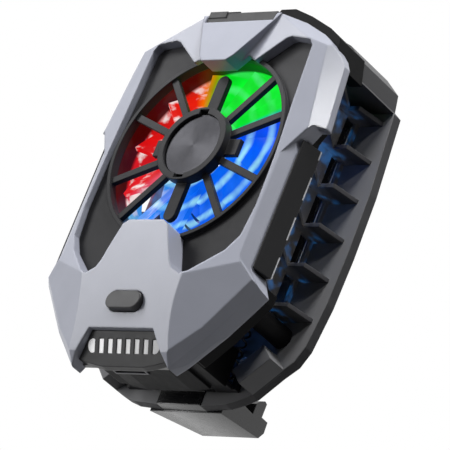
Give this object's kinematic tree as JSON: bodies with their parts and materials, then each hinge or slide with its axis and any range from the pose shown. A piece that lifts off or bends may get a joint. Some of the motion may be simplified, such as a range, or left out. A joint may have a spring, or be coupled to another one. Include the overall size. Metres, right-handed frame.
{
  "type": "phone_cooling_fan",
  "caption": "Clip-on phone cooling fan with a crowned silver cover, spoked grille, cooled back plate, side louvres and a sprung sliding jaw",
  "frame": {"origin": "centre of the face that touches the phone, on the fan axis", "axes": "+X to the right seen from the fan side with the light bar at the bottom, +Y towards the fixed jaw, +Z from the phone out to the grille"},
  "size_m": [0.0606, 0.0837, 0.0446],
  "materials": {
    "silver_plastic": "satin metallic paint",
    "dark_plastic": "fine matte texture",
    "frosted_plastic": "frosted, lit from the hub",
    "white_lens": "milky",
    "light_source": "clear",
    "aluminium": "milled",
    "ceramic": "white ceramic",
    "foam": "closed-cell foam",
    "rubber": "soft matte",
    "steel": "plain",
    "brass": "sintered",
    "copper_winding": "varnished wire",
    "magnet": "bonded magnet",
    "circuit_board": "solder mask"
  },
  "bodies": {
    "housing": {"front_cover": "silver_plastic", "grille": "dark_plastic", "hub_disc": "dark_plastic", "top_strip": "dark_plastic", "side_inserts": "dark_plastic", "light_bezel": "dark_plastic", "light_lens": "white_lens", "mid_frame": "dark_plastic", "side_louvres": "dark_plastic", "fan_duct": "dark_plastic", "light_ring": "frosted_plastic", "light_board": "circuit_board", "lights": "light_source", "motor_stator": "copper_winding", "bearing": "brass", "heat_sink": "aluminium", "cooling_tile": "ceramic", "tile_seal": "foam", "cold_plate": "aluminium", "back_plate": "dark_plastic", "slide_guide": "dark_plastic", "control_board": "circuit_board", "power_socket": "steel", "tact_switch": "dark_plastic", "fixed_jaw": "dark_plastic", "fixed_pad": "rubber", "jaw_springs": "steel", "back_screws": "steel", "guide_screws": "steel"},
    "impeller": {"impeller": "frosted_plastic", "magnet_ring": "magnet", "motor_shaft": "steel"},
    "button": {"power_button": "dark_plastic"},
    "jaw": {"sliding_jaw": "dark_plastic", "sliding_pad": "rubber"}
  },
  "joints": [
    {"name": "impeller_spin", "type": "hinge", "parent": "housing", "child": "impeller", "pos_m": [0, 0, 0.0168], "axis": [0, 0, 1], "continuous": true},
    {"name": "button_press", "type": "slide", "parent": "housing", "child": "button", "axis": [0, 0, -1], "range_m": [0, 0.0006], "stiffness_N_per_m": 1500, "springref_m": -0.0004},
    {"name": "jaw_slide", "type": "slide", "parent": "housing", "child": "jaw", "axis": [0, -1, 0], "range_m": [0, 0.014], "stiffness_N_per_m": 250, "springref_m": -0.008, "deforming": ["jaw_springs"]}
  ]
}
